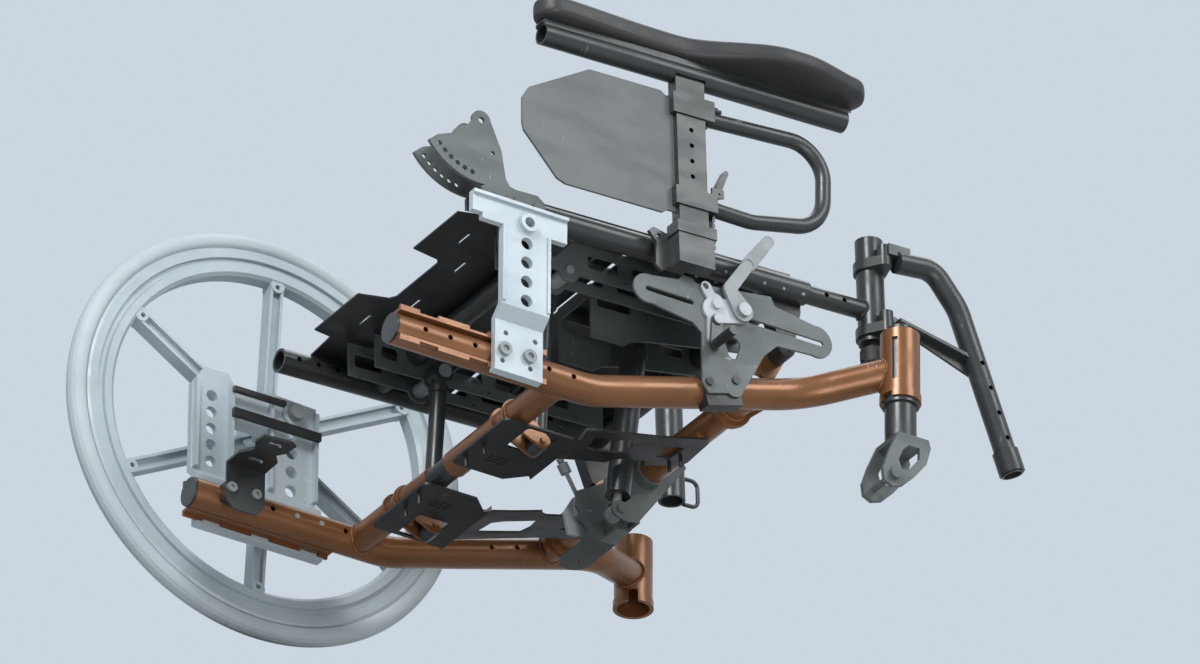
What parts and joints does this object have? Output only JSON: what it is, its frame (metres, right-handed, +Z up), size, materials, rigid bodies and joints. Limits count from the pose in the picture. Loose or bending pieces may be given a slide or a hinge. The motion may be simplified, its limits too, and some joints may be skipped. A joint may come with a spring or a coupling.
{
  "type": "wheelchair",
  "caption": "Tilt in space manual wheelchair base with copper rails, seat frame, one rear wheel, one caster fork, armrest and swing away footrest hanger",
  "frame": {"origin": "centre of the mouth of the empty left caster housing", "axes": "+X to the sitter's right, +Y forward, +Z up"},
  "size_m": [0.653, 0.928, 0.573],
  "materials": {
    "copper_paint": "satin copper bronze powder coat",
    "dark_tube": "satin dark grey paint",
    "grey_plate": "matt zinc grey paint",
    "black_sheet": "satin black paint",
    "die_cast": "light cast aluminium, fine blasted",
    "wheel_cast": "light grey cast wheel",
    "tyre": "light grey solid tyre",
    "rubber_black": "matt black rubber",
    "bright_steel": "plated steel",
    "light_paint": "white grey gloss paint",
    "guard_board": "grey moulded sheet",
    "pad_foam": "dark integral skin foam"
  },
  "bodies": {
    "base": {"side_rail_right": "copper_paint", "side_rail_left": "copper_paint", "caster_housing_right": "copper_paint", "caster_housing_left": "copper_paint", "flange_strips": "copper_paint", "rail_plugs": "dark_tube", "rear_cross_sleeves": "copper_paint", "rear_cross_core": "dark_tube", "front_cross_sleeves": "copper_paint", "front_cross_core": "dark_tube", "gusset_plates": "copper_paint", "bumpers": "rubber_black", "tray_right": "black_sheet", "tray_left": "black_sheet", "tray_saddles": "copper_paint", "post_clevises": "copper_paint", "tilt_posts": "dark_tube", "centre_plate": "grey_plate", "strut_foot": "grey_plate", "latch_block": "light_paint", "axle_plate_right": "die_cast", "axle_plate_left": "die_cast", "frame_bolts": "bright_steel", "axle_bars": "black_sheet", "wheel_axle": "bright_steel", "accessory_bracket": "dark_tube", "lock_slot_plate": "grey_plate", "lock_clamp": "black_sheet", "lock_base": "light_paint"},
    "wheel": {"wheel_rim": "wheel_cast", "wheel_tyre": "tyre"},
    "caster": {"caster_stem": "dark_tube", "caster_fork": "grey_plate"},
    "seat": {"seat_rails": "dark_tube", "seat_cross_tubes": "dark_tube", "seat_tracks": "dark_tube", "pan_rear": "black_sheet", "pan_front": "black_sheet", "track_plates": "grey_plate", "strut_channel": "grey_plate", "tilt_pins": "bright_steel", "rest_lugs": "black_sheet", "back_quadrants": "grey_plate", "hanger_receivers": "dark_tube", "arm_socket": "dark_tube"},
    "sleeve": {"strut_sleeve": "dark_tube"},
    "rod": {"strut_rod": "bright_steel"},
    "release": {"release_rod": "bright_steel"},
    "arm": {"arm_post": "dark_tube", "arm_clamps": "dark_tube", "side_guard": "guard_board", "transfer_loop": "dark_tube", "pad_tube": "dark_tube", "arm_pad": "pad_foam"},
    "arm_catch": {"arm_lever": "dark_tube"},
    "lock_handle": {"lock_lever": "bright_steel"},
    "lock_foot": {"lock_shoe": "dark_tube"},
    "hanger": {"hanger_tube": "dark_tube", "hanger_hinge": "dark_tube"},
    "knob": {"receiver_knob": "rubber_black"}
  },
  "joints": [
    {"name": "seat_tilt", "type": "hinge", "parent": "base", "child": "seat", "pos_m": [0.281, -0.36452, 0.11694], "axis": [1, 0, 0], "range_deg": [0, 25]},
    {"name": "strut_rod_pivot", "type": "hinge", "parent": "base", "child": "rod", "pos_m": [0.341, -0.2375, -0.107], "axis": [1, 0, 0], "range_deg": [0, 6]},
    {"name": "strut_sleeve_pivot", "type": "hinge", "parent": "seat", "child": "sleeve", "pos_m": [0.341, -0.21095, 0.13698], "axis": [1, 0, 0], "range_deg": [-20, 0]},
    {"name": "rear_wheel_spin", "type": "hinge", "parent": "base", "child": "wheel", "pos_m": [-0.032, -0.478, 0.093], "axis": [1, 0, 0], "continuous": true},
    {"name": "caster_swivel", "type": "hinge", "parent": "base", "child": "caster", "pos_m": [0.562, 0, 0.035], "axis": [0, 0, 1], "continuous": true},
    {"name": "arm_height", "type": "slide", "parent": "seat", "child": "arm", "axis": [0, -0.0366, 0.9993], "range_m": [0, 0.075]},
    {"name": "arm_release", "type": "hinge", "parent": "arm", "child": "arm_catch", "pos_m": [0.532, -0.22555, 0.21319], "axis": [1, 0, 0], "range_deg": [0, 12], "stiffness_Nm_per_rad": 0.4, "springref_deg": -5.73},
    {"name": "wheel_lock", "type": "hinge", "parent": "base", "child": "lock_handle", "pos_m": [0.527, -0.1883, 0.078], "axis": [-1, 0, 0], "range_deg": [0, 55]},
    {"name": "lock_shoe_swing", "type": "hinge", "parent": "base", "child": "lock_foot", "pos_m": [0.527, -0.2214, 0.0567], "axis": [-1, 0, 0], "range_deg": [0, 14]},
    {"name": "hanger_swing", "type": "hinge", "parent": "seat", "child": "hanger", "pos_m": [0.517, 0.01023, 0.16881], "axis": [0, -0.0366, 0.9993], "range_deg": [-95, 0]},
    {"name": "knob_turn", "type": "hinge", "parent": "seat", "child": "knob", "pos_m": [0.493, 0.0088, 0.09871], "axis": [0, -0.0366, 0.9993], "range_deg": [0, 90]},
    {"name": "tilt_release", "type": "slide", "parent": "base", "child": "release", "axis": [0, -0.5062, 0.8624], "range_m": [0, 0.008], "stiffness_N_per_m": 1500, "springref_m": -0.002}
  ],
  "couplings": [
    {"joint": "strut_rod_pivot", "follows": "seat_tilt", "ratio": 0.213},
    {"joint": "strut_sleeve_pivot", "follows": "seat_tilt", "ratio": -0.787},
    {"joint": "lock_shoe_swing", "follows": "wheel_lock", "ratio": 0.24}
  ]
}
